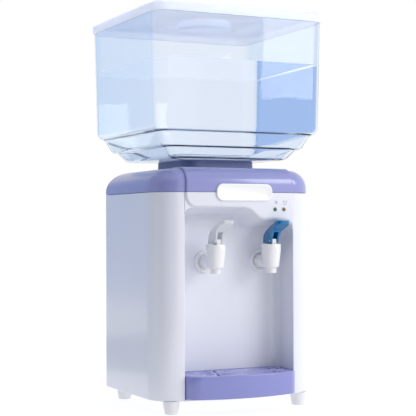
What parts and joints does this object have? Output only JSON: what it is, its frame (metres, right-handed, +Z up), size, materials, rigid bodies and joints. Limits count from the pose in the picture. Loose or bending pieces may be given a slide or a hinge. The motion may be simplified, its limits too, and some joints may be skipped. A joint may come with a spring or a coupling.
{
  "type": "countertop water dispenser",
  "caption": "Countertop water dispenser: housing with a tap recess, two push-lever taps, drip tray and a lift-off clear tank with a lid.",
  "frame": {"origin": "on the surface it stands on, under the middle of its bounding box", "axes": "+Z up, front with the taps towards -Y, +X to the right seen from the front"},
  "size_m": [0.2376, 0.2396, 0.495],
  "materials": {
    "white_plastic": "glossy moulded ABS",
    "foot_white": "satin moulded plastic",
    "lavender_cover": "glossy moulded ABS",
    "lavender_tray": "glossy moulded ABS",
    "lavender_grille": "glossy moulded ABS",
    "seat_plastic": "satin moulded plastic",
    "tank_clear": "clear blue moulded polycarbonate",
    "lid_white": "translucent polypropylene",
    "badge_white": "polished plate",
    "lens_green": "tinted indicator lens",
    "lens_amber": "tinted indicator lens",
    "tap_white": "polished acetal",
    "lever_clear": "milky moulded plastic",
    "lever_blue": "blue moulded plastic",
    "valve_blue": "satin moulded plastic",
    "rubber": "silicone",
    "steel": "bright zinc",
    "aluminium": "extruded",
    "ceramic_white": "ceramic and nylon",
    "foam": "expanded foam",
    "hose_clear": "silicone hose",
    "circuit_board": "glass fibre board",
    "dark_plastic": "satin black plastic",
    "switch_red": "red moulded plastic"
  },
  "bodies": {
    "chassis": {"housing_shell": "white_plastic", "front_fascia": "white_plastic", "top_cover": "lavender_cover", "tank_collar": "seat_plastic", "base_plate": "white_plastic", "foot_front_left": "foot_white", "foot_front_right": "foot_white", "foot_back_left": "foot_white", "foot_back_right": "foot_white", "foot_screws": "steel", "rear_panel": "white_plastic", "rear_screws": "steel", "badge_plate": "badge_white", "green_lens": "lens_green", "amber_lens": "lens_amber", "indicator_board": "circuit_board", "inlet_receiver": "valve_blue", "neck_seal": "rubber", "cold_reservoir": "steel", "foam_left": "foam", "foam_right": "foam", "cold_block": "aluminium", "cooling_module": "ceramic_white", "heat_sink": "aluminium", "fan_frame": "dark_plastic", "fan_screws": "steel", "ambient_hose": "hose_clear", "cold_supply_hose": "hose_clear", "cold_outlet_hose": "hose_clear", "power_board": "circuit_board", "transformer": "dark_plastic", "capacitors": "dark_plastic", "board_standoffs": "ceramic_white", "switch_frame": "dark_plastic", "cord_gland": "dark_plastic", "left_tap_body": "tap_white", "left_tap_bonnet": "tap_white", "left_tap_spring": "steel", "left_lever_pin": "steel", "left_tap_ring": "tap_white", "left_lock_nut": "tap_white", "right_tap_body": "tap_white", "right_tap_bonnet": "tap_white", "right_tap_spring": "steel", "right_lever_pin": "steel", "right_tap_ring": "tap_white", "right_lock_nut": "tap_white"},
    "left_lever": {"left_lever": "lever_clear"},
    "right_lever": {"right_lever": "lever_blue"},
    "left_stem": {"left_tap_stem": "tap_white"},
    "right_stem": {"right_tap_stem": "tap_white"},
    "tray": {"drip_tray": "lavender_tray"},
    "grille": {"drip_grille": "lavender_grille"},
    "tank": {"tank": "tank_clear", "valve_cap": "valve_blue", "valve_spring": "steel"},
    "valve": {"valve_plunger": "tap_white"},
    "lid": {"tank_lid": "lid_white"},
    "fan": {"fan_rotor": "dark_plastic"},
    "rocker": {"switch_rocker": "switch_red"}
  },
  "joints": [
    {"name": "left_stem_lift", "type": "slide", "parent": "chassis", "child": "left_stem", "axis": [0, 0, 1], "range_m": [0, 0.0025], "stiffness_N_per_m": 1500, "deforming": ["left_tap_spring"]},
    {"name": "left_lever_press", "type": "hinge", "parent": "chassis", "child": "left_lever", "pos_m": [-0.028, -0.0886, 0.2078], "axis": [1, 0, 0], "range_deg": [0, 22.5]},
    {"name": "right_stem_lift", "type": "slide", "parent": "chassis", "child": "right_stem", "axis": [0, 0, 1], "range_m": [0, 0.0025], "stiffness_N_per_m": 1500, "deforming": ["right_tap_spring"]},
    {"name": "right_lever_press", "type": "hinge", "parent": "chassis", "child": "right_lever", "pos_m": [0.0495, -0.0886, 0.2078], "axis": [1, 0, 0], "range_deg": [0, 22.5]},
    {"name": "tray_slide", "type": "slide", "parent": "chassis", "child": "tray", "axis": [0, -1, 0], "range_m": [0, 0.08]},
    {"name": "grille_lift", "type": "slide", "parent": "tray", "child": "grille", "axis": [0, 0, 1], "range_m": [0, 0.04]},
    {"name": "tank_lift", "type": "slide", "parent": "chassis", "child": "tank", "axis": [0, 0, 1], "range_m": [0, 0.2]},
    {"name": "valve_close", "type": "slide", "parent": "tank", "child": "valve", "axis": [0, 0, 1], "range_m": [-0.0041, 0], "deforming": ["valve_spring"]},
    {"name": "lid_lift", "type": "slide", "parent": "tank", "child": "lid", "axis": [0, 0, 1], "range_m": [0, 0.1]},
    {"name": "fan_spin", "type": "hinge", "parent": "chassis", "child": "fan", "pos_m": [0.06, 0.0695, 0.17], "axis": [0, 1, 0], "continuous": true},
    {"name": "switch_rock", "type": "hinge", "parent": "chassis", "child": "rocker", "pos_m": [-0.06, 0.0845, 0.078], "axis": [1, 0, 0], "range_deg": [0, 14]}
  ],
  "couplings": [
    {"joint": "left_lever_press", "follows": "left_stem_lift", "rad_per_m": 153.6},
    {"joint": "right_lever_press", "follows": "right_stem_lift", "rad_per_m": 153.6},
    {"joint": "valve_close", "follows": "tank_lift", "ratio": -0.02}
  ]
}
